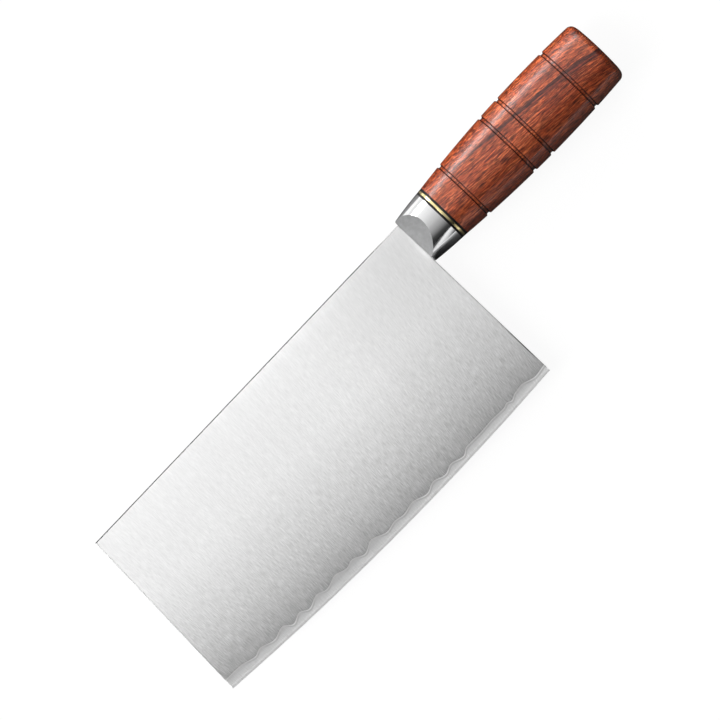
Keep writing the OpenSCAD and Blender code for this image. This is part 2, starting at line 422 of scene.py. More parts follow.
def cladding(side):
    columns = []
    for share in column_shares():
        column = []
        for x, y, above_line in cladding_places(share):
            from_edge = distance_from_edge(x, y)
            under = core_half(from_edge)
            top = outer_z(x, y, under, half_thickness(from_edge), above_line)
            column.append((x, y, *faces(side, top, under)))
        columns.append(column)
    return layer(columns, *faces(side, STUB_HALF, CORE_HALF))


# Rows of the core: shares of the way from the bevel to the wavy line, and distances from the edge
BAND_SHARES = [0, 0.2, 0.4, 0.55, 0.68, 0.78, 0.86, 0.92, 0.96, 0.985, 1]
BEVEL_STEPS = [0, 0.3, 0.65]
SLAB_STEPS = [CORE_FULL_AT, 26, GRIND_WIDTH]


def core_places(share):
    """One column of the core, from the edge to the spine: x, y and half its thickness."""
    heights = list(BEVEL_STEPS)
    for band in BAND_SHARES:
        heights.append(
            lambda x, band=band: BEVEL_WIDTH + (line_above_edge(x - TOE_X) - BEVEL_WIDTH) * band
        )
    places = []
    for height in heights:
        x, y = on_column(share, height)
        places.append((x, y, outer_z(x, y, 0, half_thickness(distance_from_edge(x, y)))))
    places.append((x, y, core_half(distance_from_edge(x, y))))
    for height in SLAB_STEPS:
        places.append((*on_column(share, height), core_half(height)))
    return places + [(*upper_point(share, row), CORE_HALF) for row in upper_rows()]


def core():
    """The hard middle layer, which shows as the band along the cutting edge."""
    columns = []
    for share in column_shares():
        columns.append([(x, y, half, -half) for x, y, half in core_places(share)])
    return layer(columns, CORE_HALF, -CORE_HALF)


# Round bodies


def turned(body, profile):
    """Turns a line of (x, radius) about the handle axis; the line closes on itself or at the axis."""
    rings = []
    for x, radius in profile:
        if radius == 0:
            rings.append([body.point((x, 0, 0))] * AROUND)
            continue
        ring = []
        for step in range(AROUND):
            angle = 2 * math.pi * step / AROUND
            ring.append(body.point((x, radius * math.cos(angle), radius * math.sin(angle))))
        rings.append(ring)
    return rings


def skin(body, rings, closed=False):
    """Faces between neighbouring rings, and from the last to the first where it is closed."""
    if closed:
        rings = rings + rings[:1]
    for near, far in zip(rings, rings[1:]):
        count = len(near)
        for step in range(count):
            after = (step + 1) % count
            body.quad(near[step], near[after], far[after], far[step])


def arc(centre, radius, start, end, steps):
    """Points of an arc in the plane of (x, radius), angles in degrees from the +x direction."""
    points = []
    for share in spread(0, 1, steps):
        angle = math.radians(start + (end - start) * share)
        points.append((centre[0] + radius * math.cos(angle), centre[1] + radius * math.sin(angle)))
    return points


# Straight steps in a small rounding
ROUND_STEPS = 4


def joint_r_at(x):
    """The joint's radius, which grows evenly from the bolster to the wood."""
    return between(x, (BOLSTER_LENGTH, WOOD_X), (JOINT_R, WOOD_FRONT_R))


def joint_ring(from_x, thickness):
    """A ring that follows the joint's taper, with slightly rounded rims and the bore for the tang."""
    body = Body()
    ease = JOINT_ROUND
    to_x = from_x + thickness
    profile = [(from_x, BORE_R)]
    profile += arc((from_x + ease, joint_r_at(from_x) - ease), ease, 180, 90, ROUND_STEPS)
    profile += [(x, joint_r_at(x)) for x in (from_x + 2 * ease, to_x - 2 * ease)]
    profile += arc((to_x - ease, joint_r_at(to_x) - ease), ease, 90, 0, ROUND_STEPS)
    profile += [(to_x, BORE_R)]
    skin(body, turned(body, profile), closed=True)
    return body


def wood_r(at):
    return SWELL_R - SWELL_ARC_R + math.sqrt(SWELL_ARC_R**2 - (at - SWELL_AT) ** 2)


def dome_drop(radius):
    return DOME_R - math.sqrt(DOME_R**2 - radius**2)


def fillet(before, corner, after, radius):
    """Rounds a corner of a line by a curve that runs into both of its sides."""
    corner = Vector(corner)
    first = (Vector(before) - corner).normalized()
    second = (Vector(after) - corner).normalized()
    reach = radius / math.tan(first.angle(second) / 2)
    start = corner + first * reach
    end = corner + second * reach
    points = []
    for share in spread(0, 1, ROUND_STEPS):
        bend = (1 - share) ** 2 * start + 2 * share * (1 - share) * corner + share**2 * end
        points.append((bend.x, bend.y))
    return points


# Where the wood beside a groove sets the slope of its corners
NEAR_GROOVE = 2


def groove(at):
    """The points of one turned groove, with its corners a little worn."""
    floor = GROOVE_FLOOR / 2
    mouth = GROOVE_MOUTH / 2
    corners = []
    for off in (-NEAR_GROOVE, -mouth, -floor, floor, mouth, NEAR_GROOVE):
        radius = wood_r(at) - GROOVE_DEPTH if abs(off) == floor else wood_r(at + off)
        corners.append((at + off, radius))
    points = []
    for before, corner, after in zip(corners, corners[1:], corners[2:]):
        points += fillet(before, corner, after, GROOVE_ROUND)
    return points


WOOD_STEP = 1.5
BORE_STEPS = 8
BUTT_STEPS = 14
# The butt's rim ends where its arc meets the dome, in degrees
RIM_END = 3


def handle():
    """The wood, turned from the end of its bore over the outside to the middle of the butt."""
    body = Body()
    rim_at = WOOD_LENGTH - dome_drop(SWELL_R - BUTT_RIM_R) - BUTT_RIM_R
    rim_r = wood_r(rim_at) - BUTT_RIM_R
    ease = JOINT_ROUND
    line = [(BORE_DEPTH + DRILL_POINT, 0), (BORE_DEPTH, BORE_R)]
    line += [(x, BORE_R) for x in spread(BORE_DEPTH, 0, BORE_STEPS)[1:]]
    line += arc((ease, wood_r(0) - ease), ease, 180, 90, ROUND_STEPS)
    here = ease
    for at in GROOVE_AT + [rim_at + GROOVE_MOUTH]:
        stop = at - GROOVE_MOUTH
        steps = max(1, round((stop - here) / WOOD_STEP))
        line += [(x, wood_r(x)) for x in spread(here, stop, steps)[1:]]
        if at in GROOVE_AT:
            line += groove(at)
            here = at + GROOVE_MOUTH
            line.append((here, wood_r(here)))
    line += arc((rim_at, rim_r), BUTT_RIM_R, 90, RIM_END, BUTT_STEPS)[1:]
    for radius in spread(rim_r, 0, BUTT_STEPS):
        line.append((WOOD_LENGTH - dome_drop(radius), radius))
    skin(body, turned(body, [(WOOD_X + x, radius) for x, radius in line]))
    return body


# The bolster: a barrel with a slanted facet on each face


def barrel_r(x):
    """Radius of the bolster's round side, with its rounded front rim."""
    chord = Vector((BOLSTER_LENGTH, JOINT_R - BOLSTER_FRONT_R))
    side_r = (chord.length**2 / 4 + BOLSTER_BULGE**2) / (2 * BOLSTER_BULGE)
    outward = Vector((-chord.y, chord.x)).normalized()
    centre = Vector((0, BOLSTER_FRONT_R)) + chord / 2 - (side_r - BOLSTER_BULGE) * outward
    side = centre.y + math.sqrt(side_r**2 - (x - centre.x) ** 2)
    if x >= BOLSTER_RIM_R:
        return side
    return side - rounding(x, BOLSTER_RIM_R)


def facet_r(x, angle):
    """How far out the facets let the bolster reach in one direction from its axis."""
    across = math.tan(FACET_SKEW) / math.cos(FACET_SLOPE)
    towards = abs(math.sin(angle)) + across * math.cos(angle)
    if towards <= TINY:
        return math.inf
    return (FACET_HEIGHT + math.tan(FACET_SLOPE) * x) / towards


def bolster_r(x, angle):
    """Radius of the whole outside, which is the facet wherever that is the lower of the two."""
    return min(barrel_r(x), facet_r(x, angle))


# Halvings of the length that find where the facet ends
HALVINGS = 40


def facet_ends(angle):
    """Where along the axis the facet meets the round side."""
    low, high = 0, BOLSTER_LENGTH
    for _ in range(HALVINGS):
        x = (low + high) / 2
        if facet_r(x, angle) < barrel_r(x):
            low = x
        else:
            high = x
    return low


def hole(half_width, half_height):
    """The wall of a rectangular hole: its distance from the axis in each direction."""

    def radius_at(_, angle):
        along_y = half_width / max(abs(math.cos(angle)), TINY)
        along_z = half_height / max(abs(math.sin(angle)), TINY)
        return min(along_y, along_z)

    return radius_at


# Rings of the bolster: shares of the facet's length, then of the round side behind it
FACET_SHARES = [0, 0.15, 0.3, 0.45, 0.6, 0.72, 0.82, 0.9, 0.95, 0.98, 0.99, 1]
SIDE_SHARES = [0.004, 0.01, 0.02, 0.04, 0.08, 0.14, 0.22, 0.32, 0.44, 0.58, 0.72, 0.86, 1]


def bolster_angles():
    """Directions around the axis, with the corners of the slot and of the pocket among them."""
    corners = []
    for width, height in ((STUB_HALF_HEIGHT, STUB_HALF), (TANG_HALF_WIDTH, TANG_HALF_THICKNESS)):
        corner = math.atan2(height, width)
        corners += [corner, math.pi - corner, math.pi + corner, 2 * math.pi - corner]
    count = 2 * AROUND
    even = [2 * math.pi * step / count for step in range(count)]
    space = math.pi / count / 2
    kept = [angle for angle in even if all(abs(angle - corner) > space for corner in corners)]
    return sorted(kept + corners)


def bolster():
    """The steel collar, from the floor of its slot over the outside to the tang's pocket."""
    body = Body()
    angles = bolster_angles()
    ends = [max(BOLSTER_RIM_R, facet_ends(angle)) for angle in angles]

    def ring(places, radius_at, outside=False):
        points = []
        for x, angle in zip(places, angles):
            radius = radius_at(x, angle)
            on_facet = outside and facet_r(x, angle) < barrel_r(x) + TINY
            place = (x, radius * math.cos(angle), radius * math.sin(angle))
            points.append(body.point(place, facet=float(on_facet)))
        return points

    def all_round(value):
        return [value] * len(angles)

    def axis_point(x):
        return all_round(body.point((x, 0, 0), facet=0.0))

    slot = hole(STUB_HALF_HEIGHT, STUB_HALF)
    pocket = hole(TANG_HALF_WIDTH, TANG_HALF_THICKNESS)

    def halfway(x, angle):
        return (slot(x, angle) + bolster_r(x, angle)) / 2

    rings = [axis_point(STUB_LENGTH), ring(all_round(STUB_LENGTH), slot)]
    rings += [ring(all_round(0), slot), ring(all_round(0), halfway)]
    for share in FACET_SHARES:
        rings.append(ring([end * share for end in ends], bolster_r, True))
    for share in SIDE_SHARES:
        rings.append(ring([end + (BOLSTER_LENGTH - end) * share for end in ends], bolster_r, True))
    rings.append(ring(all_round(BOLSTER_LENGTH), pocket))
    pocket_x = BOLSTER_LENGTH - POCKET_DEPTH
    rings += [ring(all_round(pocket_x), pocket), axis_point(pocket_x)]
    skin(body, rings)
    return body


# Finishes


class Graph:
    """Adds nodes to one node tree."""

    def __init__(self, tree):
        self.nodes = tree.nodes
        self.links = tree.links

    def feed(self, socket, source):
        """Links a socket, or sets it to a number or to a colour of three numbers."""
        if isinstance(source, bpy.types.NodeSocket):
            self.links.new(source, socket)
        elif source is not None:
            socket.default_value = (*source, 1) if isinstance(source, tuple) else source

    def fill(self, sockets, *sources):
        for socket, source in zip(sockets, sources):
            self.feed(socket, source)

    def math(self, operation, a, b=None, c=None, clamp=False):
        node = self.nodes.new("ShaderNodeMath")
        node.operation = operation
        node.use_clamp = clamp
        self.fill(node.inputs, a, b, c)
        return node.outputs[0]

    def product(self, first, *others):
        for other in others:
            first = self.math("MULTIPLY", first, other)
        return first

    def total(self, first, *others):
        for other in others:
            first = self.math("ADD", first, other)
        return first

    def parts(self, vector):
        split = self.nodes.new("ShaderNodeSeparateXYZ")
        self.links.new(vector, split.inputs[0])
        return tuple(split.outputs)

    def steps(self, source, low, high, to_low=0.0, to_high=1.0):
        """A smooth change from to_low to to_high as the source goes from low to high."""
        node = self.nodes.new("ShaderNodeMapRange")
        node.interpolation_type = "SMOOTHSTEP"
        self.fill(node.inputs, source, low, high, to_low, to_high)
        return node.outputs[0]

    def window(self, source, rise, fall):
        """One between a smooth rise and a smooth fall, zero beyond them."""
        return self.product(self.steps(source, *rise), self.steps(source, *fall, 1.0, 0.0))

    def ramp(self, source, stops):
        """Colours, or greys given as one number, at places from zero to one."""
        node = self.nodes.new("ShaderNodeValToRGB")
        marks = node.color_ramp.elements
        while len(marks) < len(stops):
            marks.new(0.5)
        for mark, (at, colour) in zip(marks, stops):
            mark.position = at
            mark.color = (*colour, 1) if isinstance(colour, tuple) else (colour, colour, colour, 1)
        self.feed(node.inputs[0], source)
        return node.outputs[0]


class Finish(Graph):
    """One procedural material; lengths in its textures are millimetres."""

    def __init__(self, name):
        self.material = bpy.data.materials.new(name)
        self.material.use_nodes = True
        super().__init__(self.material.node_tree)
        self.shader = self.nodes["Principled BSDF"]

    def value_at(self, name):
        node = self.nodes.new("ShaderNodeAttribute")
        node.attribute_name = name
        return node.outputs["Fac"]

    def place(self):
        """The point's x, y and z in the knife's own axes, in millimetres."""
        undo = self.nodes.new("ShaderNodeMapping")
        undo.vector_type = "TEXTURE"
        undo.inputs["Location"].default_value = POSE.translation
        undo.inputs["Rotation"].default_value = POSE.to_euler()
        undo.inputs["Scale"].default_value = (MM, MM, MM)
        self.links.new(self.nodes.new("ShaderNodeTexCoord").outputs["Object"], undo.inputs[0])
        return self.parts(undo.outputs[0])

    def vector(self, x, y, z):
        node = self.nodes.new("ShaderNodeCombineXYZ")
        self.fill(node.inputs, x, y, z)
        return node.outputs[0]

    def noise(self, lengths, place, detail=2.0, roughness=0.5):
        """Noise with features of the given length along each direction."""
        node = self.nodes.new("ShaderNodeTexNoise")
        shares = [self.math("DIVIDE", part, length) for part, length in zip(place, lengths)]
        self.links.new(self.vector(*shares), node.inputs["Vector"])
        node.inputs["Scale"].default_value = 1
        node.inputs["Detail"].default_value = detail
        node.inputs["Roughness"].default_value = roughness
        return node.outputs["Fac"]

    def mix(self, share, a, b, blend="MIX"):
        node = self.nodes.new("ShaderNodeMix")
        node.data_type = "RGBA"
        node.blend_type = blend
        self.fill([node.inputs[0], node.inputs[6], node.inputs[7]], share, a, b)
        return node.outputs[2]

    def tinted(self, colour, *factors):
        """A colour times some numbers."""
        factor = self.product(*factors)
        return self.mix(1.0, colour, self.vector(factor, factor, factor), "MULTIPLY")

    def bump(self, height, depth):
        """Relief of a depth in millimetres for a height between zero and one."""
        node = self.nodes.new("ShaderNodeBump")
        node.inputs["Strength"].default_value = 1
        node.inputs["Distance"].default_value = depth * MM
        self.links.new(height, node.inputs["Height"])
        return node.outputs[0]

    def set(self, **given):
        """Feeds the shader's sockets, with underscores for the spaces in their names."""
        for name, source in given.items():
            self.feed(self.shader.inputs[name.replace("_", " ")], source)
        return self.material


# The grinding belt's marks fan out from a point far beyond the cutting edge, and each face has
# marks of its own
FAN_CENTRE_X = -146
FAN_CENTRE_Y = -860
FAN_MEAN_R = 830
FACES_APART = 20


def brush_place(finish, x, y, z):
    """Places for noise: across the grinding marks, along them, and apart for the two faces."""
    off_x = finish.math("SUBTRACT", x, FAN_CENTRE_X)
    off_y = finish.math("SUBTRACT", y, FAN_CENTRE_Y)
    across = finish.product(finish.math("ARCTAN2", off_x, off_y), FAN_MEAN_R)
    squares = finish.total(finish.product(off_x, off_x), finish.product(off_y, off_y))
    return across, finish.math("SQRT", squares), finish.product(finish.math("SIGN", z), FACES_APART)


def fine_marks(finish, place):
    return finish.noise((0.38, 3.8, 1), place, 4, 0.68)


def brushed(finish, z, colour, roughness, spreading, relief):
    """Brushed steel that spreads a reflection across its marks, with the painted dark line at its
    border.
    """
    line = finish.steps(finish.value_at("rim"), 0, RIM_FULL)
    rim_shade = finish.product(line, finish.steps(finish.math("ABSOLUTE", z), *RIM_SHADE_Z))
    return finish.set(
        Base_Color=finish.mix(rim_shade, colour, (RIM_PAINTED_SHADE_GREY, RIM_PAINTED_SHADE_GREY, RIM_PAINTED_SHADE_GREY)),
        Metallic=1.0,
        Roughness=roughness,
        Anisotropic=spreading,
        Tangent=finish.vector(*(POSE.to_3x3() @ Vector((1, 0, 0)))),
        Normal=relief,
    )


# Greys of the claddings and strength of their marks, by the distance above the wavy line
SHADE_REACH = 90
# The greys are partly painted shade: the fall of the studio light from the spine to the wavy line,
# over the steel's own darker tone near the line.
CLADDING_TONE_AND_PAINTED_SHADE = [
    (0, 0.415), (0.03, 0.465), (0.11, 0.54), (0.2, 0.595), (0.4, 0.648), (0.56, 0.722),
    (0.8, 0.746), (0.93, 0.772), (1, 0.85),
]
MARK_AMOUNTS = [(0, 1.1), (0.5, 0.44), (1, 0.2)]
MARK_STRENGTH = 1.5
# Painted shade that makes them darker at the heel: at the line, and more for each millimetre above it
HEEL_PAINTED_SHADE = 0.02
HEEL_PAINTED_SHADE_GROWS = 0.0019
HEEL_PAINTED_SHADE_FROM = (-80, 0)
# Greys of the core, by the distance from the cutting edge: its own tone, with painted light that
# brightens it towards the edge and on the bevel
CORE_REACH = 8
CORE_TONE_AND_PAINTED_LIGHT = [
    (0.1, 0.975), (0.15, 0.99), (0.2, 0.9), (0.25, 0.79), (0.33, 0.66), (0.39, 0.625),
    (0.44, 0.61), (0.5, 0.58), (0.8, 0.585),
]
# Lines on the core by the distance below the wavy line, where that line dips towards the edge: a
# painted highlight just below the line, and a dark line below that
PAINTED_GLINT = ((0, 0.15), (0.3, 0.6))
CONTOUR = ((0.5, 0.8), (1.0, 1.45))
LINE_DIPS = (4.2, 5.6)
# The painted dark line at the borders, painted shade of their rounding: on the faces and not
# beyond them, where they turn down
RIM_PAINTED_SHADE_GREY = 0.03
RIM_SHADE_Z = (0.45, 0.65)


def blade_steel():
    """The claddings: brushed across, darker towards the wavy line (their own steel and painted shade)
    and, by painted shade, a little towards the heel.
    """
    finish = Finish("cladding_brushed_steel")
    x, y, z = finish.place()
    place = brush_place(finish, x, y, z)
    fine = fine_marks(finish, place)
    broad = finish.noise((1.7, 45, 1), place, 3, 0.55)
    from_line = finish.value_at("from_line")
    share = finish.math("DIVIDE", from_line, SHADE_REACH, clamp=True)
    amount = finish.product(finish.ramp(share, MARK_AMOUNTS), MARK_STRENGTH)
    heel = finish.math("MULTIPLY_ADD", from_line, HEEL_PAINTED_SHADE_GROWS, HEEL_PAINTED_SHADE)
    colour = finish.tinted(
        finish.ramp(share, CLADDING_TONE_AND_PAINTED_SHADE),
        finish.math("MULTIPLY_ADD", finish.math("SUBTRACT", fine, 0.5), amount, 1.0),
        finish.steps(broad, 0.25, 0.75, 0.975, 1.025),
        finish.math("SUBTRACT", 1.0, finish.product(heel, finish.steps(x, *HEEL_PAINTED_SHADE_FROM))),
    )
    roughness = finish.steps(fine, 0.2, 0.8, 0.34, 0.4)
    return brushed(finish, z, colour, roughness, 0.8, finish.bump(fine, 0.0015))


def core_steel():
    """The core: finely ground, a painted highlight and a dark line under the wavy line, and painted
    light that brightens the edge.
    """
    finish = Finish("core_ground_steel")
    x, y, z = finish.place()
    fine = fine_marks(finish, brush_place(finish, x, y, z))
    from_edge = finish.value_at("from_edge")
    below = finish.product(finish.value_at("from_line"), -1)
    dip = finish.steps(finish.total(from_edge, below), *LINE_DIPS, 1.0, 0.15)
    painted_glint = finish.product(finish.window(below, *PAINTED_GLINT), dip)
    contour = finish.product(finish.window(below, *CONTOUR), dip)
    colour = finish.tinted(
        finish.ramp(finish.math("DIVIDE", from_edge, CORE_REACH, clamp=True), CORE_TONE_AND_PAINTED_LIGHT),
        finish.steps(fine, 0.2, 0.8, 0.9, 1.09),
        finish.math("MULTIPLY_ADD", contour, -0.2, 1.0),
        finish.math("MULTIPLY_ADD", painted_glint, 0.2, 1.0),
    )
    roughness = finish.total(
        finish.steps(fine, 0.2, 0.8, -0.03, 0.03), finish.steps(from_edge, 0.7, 4.2, 0.86, 0.32)
    )
    return brushed(finish, z, colour, roughness, 0.75, finish.bump(fine, 0.001))


def turning_marks(finish, x, y, z, pitch):
    """Fine rings left by a lathe, between zero and one."""
    around = finish.product(finish.math("ARCTAN2", y, z), JOINT_R)
    return finish.noise((pitch, 15, 1), (x, around, 0.0), 3, 0.6)


def collar_steel():
    """The bolster: polished round side with faint turning marks, and satin facets whose dark grey is
    painted shade.
    """
    finish = Finish("bolster_polished_steel")
    x, y, z = finish.place()
    facet = finish.value_at("facet")
    turning = turning_marks(finish, x, y, z, 0.12)
    satin = finish.noise((1.8, 0.14, 1.8), (x, y, z), 3, 0.6)
    cloud = finish.noise((3, 3, 3), (x, y, z), 2, 0.5)
    round_side = finish.tinted((0.8, 0.802, 0.805), finish.steps(turning, 0.2, 0.8, 0.98, 1.02))
    # The facets' dark grey is painted shade: the same steel as the round side, darkened for how the
    # light falls on them.
    flat_side_painted_dark = finish.tinted(
        (0.28, 0.281, 0.283),
        finish.steps(satin, 0.2, 0.8, 0.9, 1.1),
        finish.steps(cloud, 0.3, 0.7, 0.93, 1.07),
    )
    height = finish.math("MULTIPLY_ADD", facet, finish.math("SUBTRACT", satin, turning), turning)
    return finish.set(
        Base_Color=finish.mix(facet, round_side, flat_side_painted_dark),
        Metallic=1.0,
        Roughness=finish.math("MULTIPLY_ADD", facet, 0.34, 0.09),
        Normal=finish.bump(height, 0.0008),
    )


def brass():
    finish = Finish("ring_polished_brass")
    x, y, z = finish.place()
    turning = turning_marks(finish, x, y, z, 0.1)
    tarnish = finish.noise((2.5, 2.5, 2.5), (x, y, z), 3, 0.6)
    dulled = finish.steps(tarnish, 0.4, 0.8)
    return finish.set(
        Base_Color=finish.mix(dulled, (0.98, 0.84, 0.44), (0.93, 0.74, 0.34)),
        Metallic=1.0,
        Roughness=finish.steps(tarnish, 0.3, 0.8, 0.13, 0.22),
        Normal=finish.bump(turning, 0.001),
    )


def black_fibre():
    finish = Finish("spacer_black_fibre")
    x, y, z = finish.place()
    fibres = finish.noise((0.3, 0.9, 0.9), (x, y, z), 4, 0.7)
    raised = finish.steps(fibres, 0.4, 0.75)
    return finish.set(
        Base_Color=finish.mix(raised, (0.004, 0.0035, 0.003), (0.016, 0.013, 0.011)),
        Roughness=finish.steps(fibres, 0.3, 0.7, 0.35, 0.5),
        Specular_IOR_Level=0.3,
        Normal=finish.bump(fibres, 0.01),
    )


# The wood's dark streak: where it starts, how it falls and bends towards the butt, and how far
# below it its twin and the thin streak run
STREAK_FROM_X = 32
STREAK_LENGTH = 85
STREAK_START_Y = 9.2
STREAK_FALL = 5.6
STREAK_BEND = 4.2
STREAK_BENDS_LATE = 6
TWIN_BELOW = 1.9
THIN_BELOW = 4.6
# The layers of the wood lean, and waver by up to this much
GRAIN_TILT = math.radians(18)
STREAK_Z = 15
WAVER = 2.4
# Colours of the wood by its tone, of its flecks, streaks and pores, and the painted shade of the
# groove walls
WOOD_TONES = [
    (0.1, (0.1, 0.016, 0.007)), (0.3, (0.26, 0.038, 0.013)), (0.5, (0.47, 0.08, 0.024)),
    (0.68, (0.65, 0.135, 0.042)), (0.88, (0.8, 0.21, 0.075)),
]
FLECK_COLOUR = (0.78, 0.22, 0.08)
BETWEEN_STREAKS = (0.16, 0.022, 0.018)
STREAK_COLOUR = (0.05, 0.013, 0.012)
PORE_COLOUR = (0.1, 0.02, 0.012)
GROOVE_PAINTED_SHADE = (0.03, 0.006, 0.004)
GROOVE_SHADE_FROM_CENTRE = 0.75


def streaks(finish, off, share):
    """How dark the streaks are, and the wood between the first two.

    `off` is the distance above the first streak; `share` is 0 at its start and 1 near the butt.
    """
    across = finish.math("DIVIDE", off, finish.steps(share, -0.05, 0.75, 0.32, 0.8))
    above = finish.steps(across, 0.7, 1.1, 1.0, 0.0)
    under = finish.steps(across, -1.5, -0.6)
    main = finish.product(above, under, finish.steps(share, -0.1, 0.25, 0.0, 0.86))

    def line(below, widths, strength):
        away = finish.math("ABSOLUTE", finish.total(off, below))
        return finish.steps(away, *widths, strength, 0.0)

    twin = finish.product(line(TWIN_BELOW, (0.15, 0.6), 0.7), finish.steps(share, 0.3, 0.55))
    reach = finish.product(finish.steps(share, 0.35, 0.5), finish.steps(share, 0.75, 0.95, 1.0, 0.2))
    thin = finish.product(line(THIN_BELOW, (0.2, 0.8), 0.6), reach)
    over_twin = finish.steps(off, -TWIN_BELOW - 0.8, -TWIN_BELOW + 0.2)
    shade = finish.product(over_twin, above, finish.steps(share, 0.3, 0.6, 0.0, 0.5))
    return finish.math("MAXIMUM", finish.math("MAXIMUM", main, twin), thin), shade


def rosewood():
    """Lacquered reddish wood with fine grain, pores, flecks and streaks, painted shade on its groove
    walls and painted light and shade across its round.
    """
    finish = Finish("handle_lacquered_rosewood")
    x, y, z = finish.place()
    share = finish.math("DIVIDE", finish.math("SUBTRACT", x, STREAK_FROM_X), STREAK_LENGTH)
    bend = finish.math("POWER", finish.math("MAXIMUM", share, 0.0), STREAK_BENDS_LATE)
    fall = finish.total(finish.product(share, STREAK_FALL), finish.product(bend, STREAK_BEND))
    tilt = finish.product(finish.math("SUBTRACT", z, STREAK_Z), math.sin(GRAIN_TILT))
    level = finish.total(y, tilt, fall, -STREAK_START_Y)
    drift = finish.noise((26, 9, 9), (x, y, z), 2, 0.5)
    wavering = finish.math("MULTIPLY_ADD", drift, WAVER, level)

    def figure(lengths, detail, roughness, along=x):
        return finish.noise(lengths, (along, wavering, z), detail, roughness)

    lines = figure((45, 0.8, 12), 4, 0.6)
    fibre = figure((9, 0.28, 1.5), 3, 0.6)
    grain = figure((4, 0.5, 1.2), 3, 0.75)
    pores = figure((5, 0.28, 0.9), 2, 0.5)
    flecks = figure((5, 0.3, 1), 2, 0.5, finish.total(x, 50))
    patches = figure((20, 3.4, 6), 3, 0.55)

    tone = finish.total(lines, finish.product(fibre, 0.9), finish.product(patches, 0.7), -0.8)
    colour = finish.ramp(tone, WOOD_TONES)
    colour = finish.mix(finish.steps(flecks, 0.54, 0.66, 0.0, 0.45), colour, FLECK_COLOUR)
    off = finish.math("MULTIPLY_ADD", finish.math("SUBTRACT", fibre, 0.5), 1.5, level)
    dark, shade = streaks(finish, off, share)
    colour = finish.mix(shade, colour, BETWEEN_STREAKS)
    colour = finish.mix(dark, colour, STREAK_COLOUR)
    pore = finish.steps(pores, 0.52, 0.6, 0.0, 0.7)
    colour = finish.mix(pore, colour, PORE_COLOUR)

    # Painted shade on the steep walls of the grooves
    gaps = [finish.math("ABSOLUTE", finish.math("SUBTRACT", x, WOOD_X + at)) for at in GROOVE_AT]
    nearest = gaps[0]
    for gap in gaps[1:]:
        nearest = finish.math("MINIMUM", gap, nearest)
    wall = finish.math("ABSOLUTE", finish.math("SUBTRACT", nearest, GROOVE_SHADE_FROM_CENTRE))
    colour = finish.mix(finish.steps(wall, 0.12, 0.42, 0.9, 0.0), colour, GROOVE_PAINTED_SHADE)
    # Painted light and shade across the round: darker towards the edge's side below, a little darker
    # above y = 6, and lighter again towards the spine's side.
    colour = finish.tinted(
        colour,
        finish.steps(grain, 0.3, 0.7, 0.2, 1.75),
        finish.steps(y, -14, 3, 0.65, 1.0),
        finish.steps(y, 1, 6, 1.0, 0.82),
        finish.steps(y, 9, 14, 1.0, 1.35),
    )
    return finish.set(
        Base_Color=colour,
        Roughness=0.5,
        Specular_IOR_Level=0.2,
        Normal=finish.bump(finish.math("SUBTRACT", fibre, pore), 0.012),
        Coat_Weight=1.0,
        Coat_Roughness=0.2,
        Coat_IOR=1.5,
    )


def tang_steel():
    finish = Finish("tang_rolled_steel")
    x, y, z = finish.place()
    scale_marks = finish.noise((14, 1.2, 1.2), (x, y, z), 4, 0.6)
    return finish.set(
        Base_Color=finish.mix(scale_marks, (0.3, 0.3, 0.31), (0.52, 0.52, 0.52)),
        Metallic=1.0,
        Roughness=finish.steps(scale_marks, 0.3, 0.7, 0.4, 0.6),
        Normal=finish.bump(scale_marks, 0.02),
    )


def hard_glue():
    finish = Finish("tang_hard_glue")
    x, y, z = finish.place()
    cloud = finish.noise((3, 3, 3), (x, y, z), 4, 0.6)
    bubbles = finish.noise((0.5, 0.5, 0.5), (x, y, z), 2, 0.5)
    return finish.set(
        Base_Color=finish.mix(cloud, (0.3, 0.22, 0.13), (0.42, 0.34, 0.24)),
        Roughness=finish.steps(cloud, 0.3, 0.7, 0.25, 0.4),
        Normal=finish.bump(bubbles, 0.05),
    )


# The stage


def flat_stage(name, low, high, height):
    """A level rectangle of the stage, between two corners, with a rough material of its own."""
    mesh = bpy.data.meshes.new(name)
    corners = [(low[0], low[1]), (high[0], low[1]), (high[0], high[1]), (low[0], high[1])]
    mesh.from_pydata([(x, y, height) for x, y in corners], [], [(0, 1, 2, 3)])
    laid = place_in_scene(name, mesh)
    paint = bpy.data.materials.new(name)
    paint.use_nodes = True
    shader = paint.node_tree.nodes["Principled BSDF"]
    shader.inputs["Roughness"].default_value = 1
    shader.inputs["Specular IOR Level"].default_value = 0
    mesh.materials.append(paint)
    return laid, Graph(paint.node_tree), shader


FLOOR_REACH = 12
FLOOR_GREY = 0.12
FLOOR_GLOW = 0.92


def white_floor():
    """A white table; its own light is only for what the camera and reflections see of it."""
    reach = (FLOOR_REACH, FLOOR_REACH)
    _, graph, shader = flat_stage("floor", (-FLOOR_REACH, -FLOOR_REACH), reach, 0)
    graph.feed(shader.inputs["Base Color"], (FLOOR_GREY, FLOOR_GREY, FLOOR_GREY))
    graph.feed(shader.inputs["Emission Color"], (1, 1, 1))
    path = graph.nodes.new("ShaderNodeLightPath")
    seen = graph.math("MAXIMUM", path.outputs["Is Camera Ray"], path.outputs["Is Glossy Ray"])
    seen = graph.math("MAXIMUM", seen, path.outputs["Is Transmission Ray"])
    graph.feed(shader.inputs["Emission Strength"], graph.product(seen, FLOOR_GLOW))


